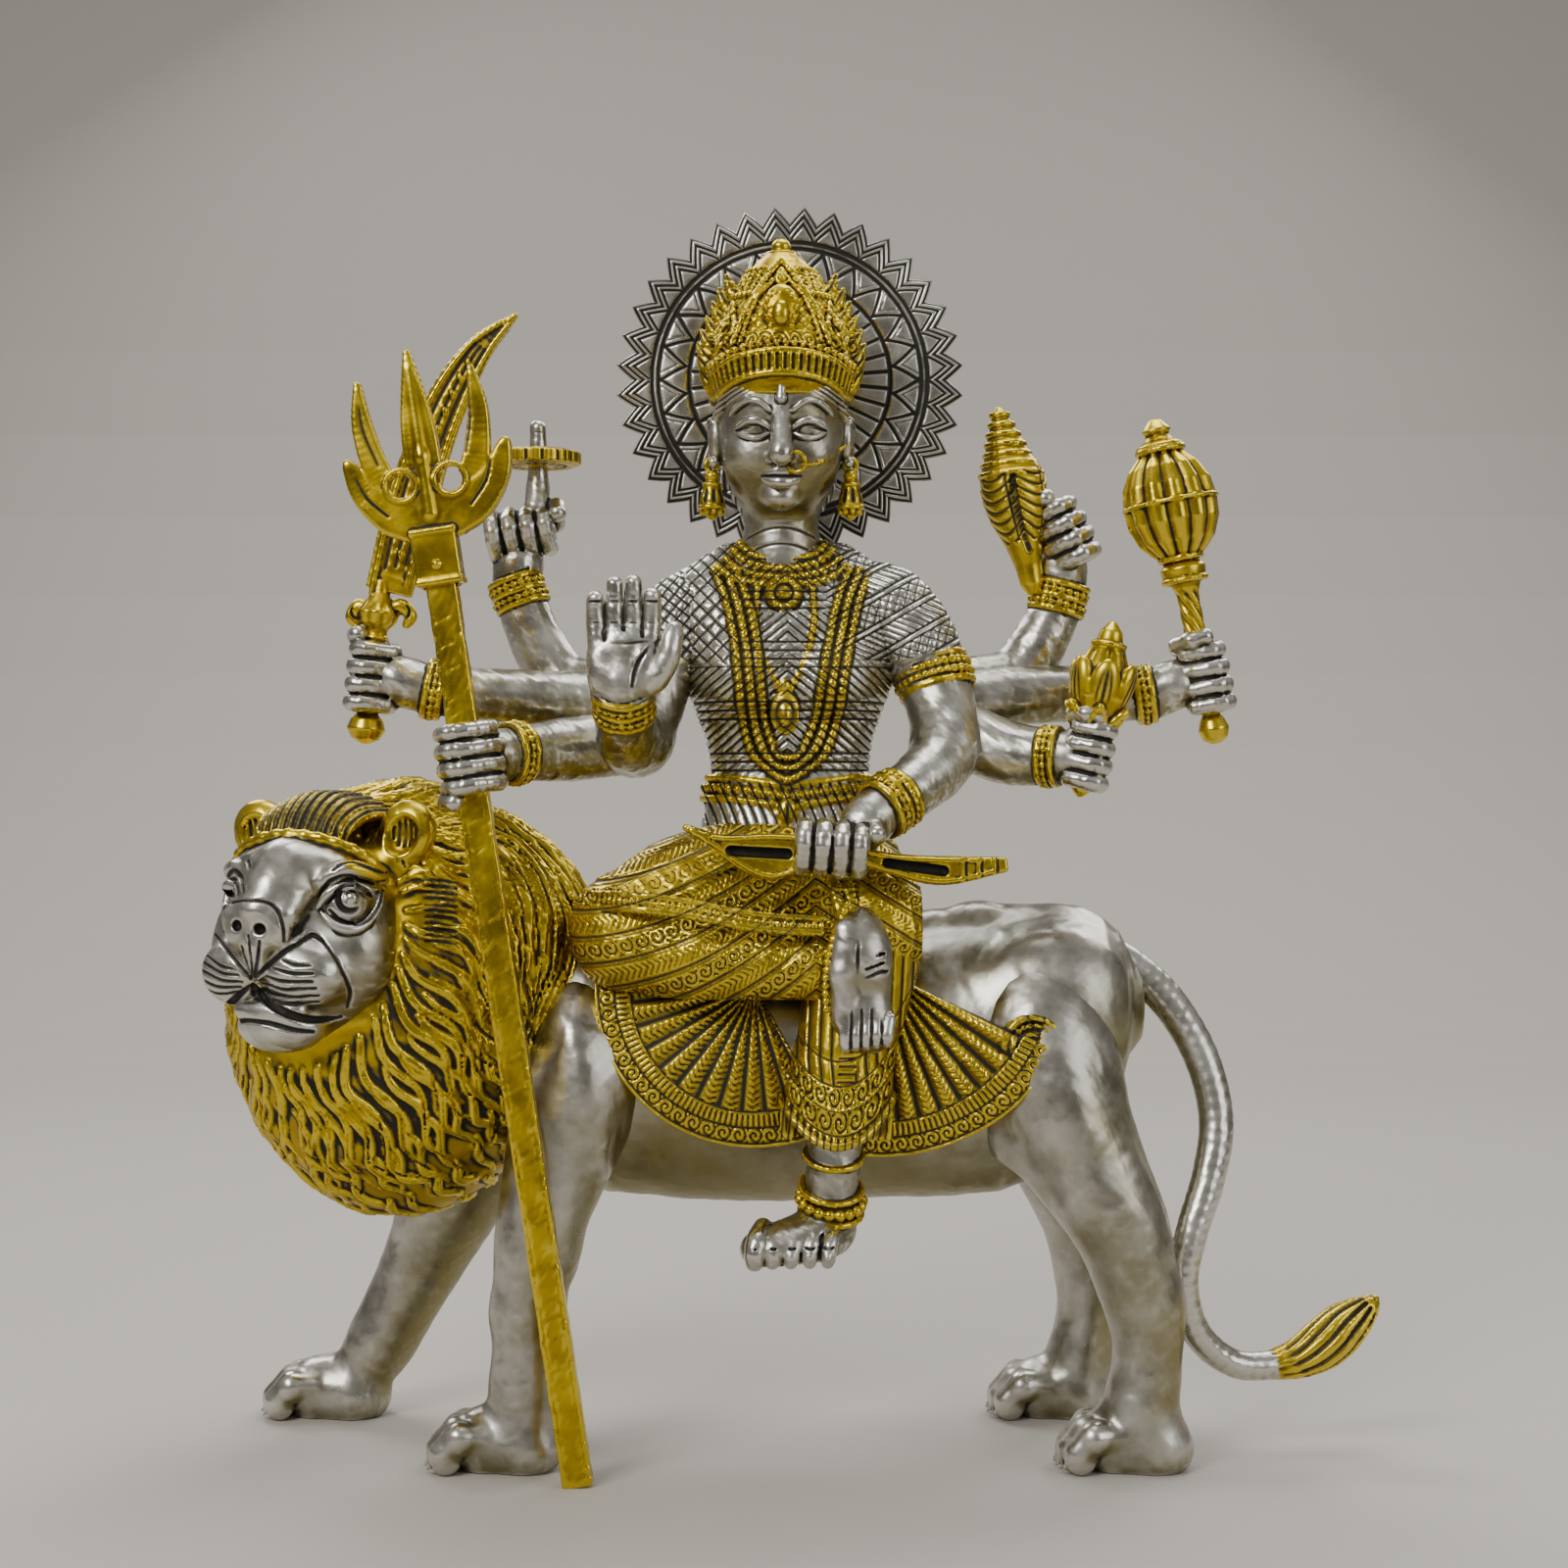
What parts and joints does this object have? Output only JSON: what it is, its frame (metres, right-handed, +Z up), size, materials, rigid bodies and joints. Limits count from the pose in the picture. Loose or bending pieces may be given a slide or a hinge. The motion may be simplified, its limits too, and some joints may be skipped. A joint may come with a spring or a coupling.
{
  "type": "deity figurine",
  "caption": "Cast metal figurine of a crowned, many-armed goddess with a toothed halo, seated sideways on a standing lion and holding ceremonial weapons, with a lift-out trident.",
  "frame": {"origin": "middle of the overall footprint, on the surface that the paws stand on", "axes": "+Z up; the goddess faces -Y and the lion walks towards -X"},
  "size_m": [0.4685, 0.1401, 0.5117],
  "materials": {
    "silver_brass": "silver-toned cast brass, burnished on the high spots, with black antique patina in the engraving",
    "gold_brass": "gold-toned cast brass with black antique patina in the engraving",
    "plain_brass": "plain turned brass"
  },
  "bodies": {
    "statue": {"lion_trunk": "silver_brass", "lion_mane": "gold_brass", "lion_head": "silver_brass", "lion_front_leg_near": "silver_brass", "lion_front_leg_far": "silver_brass", "lion_hind_leg_near": "silver_brass", "lion_hind_leg_far": "silver_brass", "lion_tail": "silver_brass", "goddess_torso": "silver_brass", "goddess_head": "silver_brass", "crown": "gold_brass", "halo": "silver_brass", "halo_screws": "plain_brass", "earrings": "gold_brass", "lap_drape": "gold_brass", "folded_foot": "silver_brass", "skirt_fan_left": "gold_brass", "skirt_fan_right": "gold_brass", "hanging_gown": "gold_brass", "hanging_foot": "silver_brass", "arm_blessing": "silver_brass", "arm_trident": "silver_brass", "arm_sword": "silver_brass", "arm_chakra": "silver_brass", "arm_bow": "silver_brass", "arm_lotus": "silver_brass", "arm_mace": "silver_brass", "arm_conch": "silver_brass", "sword": "gold_brass", "mace": "gold_brass", "conch": "gold_brass", "lotus": "gold_brass", "bow": "gold_brass", "seat_bolt": "plain_brass", "seat_washer": "plain_brass"},
    "trident": {"trident_staff": "gold_brass", "trident_head": "gold_brass", "trident_rivet": "gold_brass"},
    "discus": {"chakra": "gold_brass"}
  },
  "joints": [
    {"name": "trident_lift", "type": "slide", "parent": "statue", "child": "trident", "axis": [-0.1495, 0, 0.9888], "range_m": [0, 0.26]},
    {"name": "discus_spin", "type": "hinge", "parent": "statue", "child": "discus", "pos_m": [-0.11, 0.012, 0.40425], "axis": [0, 0, 1], "continuous": true}
  ]
}
